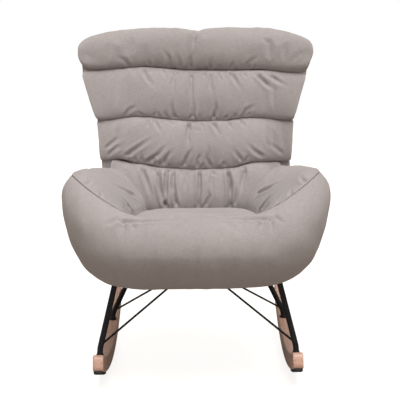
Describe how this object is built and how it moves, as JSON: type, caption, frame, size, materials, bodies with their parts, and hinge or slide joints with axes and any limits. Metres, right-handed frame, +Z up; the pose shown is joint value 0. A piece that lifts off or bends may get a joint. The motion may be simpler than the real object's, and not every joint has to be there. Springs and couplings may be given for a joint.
{
  "type": "rocking chair",
  "caption": "Upholstered armchair with a tufted wing back and bowl-shaped arms on a black steel-rod base with curved wooden rockers.",
  "frame": {"origin": "on the floor, midway between the rockers, under the line where the level rockers touch it, which is also the middle of the chair's bounding box to within 7 mm", "axes": "+Z up, -Y the way the sitter looks, +X to the sitter's left; the two halves mirror across X = 0"},
  "size_m": [0.754, 0.87, 0.989],
  "materials": {
    "linen": "matte plain-weave linen-look upholstery cloth, warm grey-beige",
    "beech": "clear-lacquered solid beech, satin",
    "plywood": "raw plywood",
    "rubber": "matte black rubber",
    "black_steel": "black powder coat, satin",
    "zinc": "zinc plated",
    "webbing": "elastic upholstery webbing",
    "dust_cloth": "black non-woven cloth"
  },
  "bodies": {
    "root": {"rocker_left": "beech", "rocker_right": "beech", "bumper_left": "rubber", "bumper_right": "rubber", "leg_front_left": "black_steel", "leg_front_right": "black_steel", "leg_rear_left": "black_steel", "leg_rear_right": "black_steel", "foot_discs": "black_steel", "foot_bolts": "zinc", "brace_front_left": "black_steel", "brace_front_right": "black_steel", "brace_rear_left": "black_steel", "brace_rear_right": "black_steel", "brace_hub": "black_steel", "base_rail_left": "black_steel", "base_rail_right": "black_steel", "cross_bar_front": "black_steel", "cross_bar_rear": "black_steel", "spine_bar": "black_steel", "base_screws": "zinc", "seat_rail_front": "plywood", "seat_rail_rear": "plywood", "seat_rail_left": "plywood", "seat_rail_right": "plywood", "corner_blocks": "plywood", "seat_webbing": "webbing", "back_hoop": "black_steel", "back_cross_tube": "black_steel", "back_webbing": "webbing", "hoop_bolts": "zinc", "wing_frame_left": "black_steel", "wing_frame_right": "black_steel", "arm_frame_left": "black_steel", "arm_frame_right": "black_steel", "seat_cushion": "linen", "arm_pad_left": "linen", "arm_pad_right": "linen", "bowl_wrap": "linen", "lower_back_channel": "linen", "middle_back_channel": "linen", "upper_back_channel": "linen", "head_roll": "linen", "outer_back": "linen", "dust_cover": "dust_cloth"}
  },
  "joints": []
}
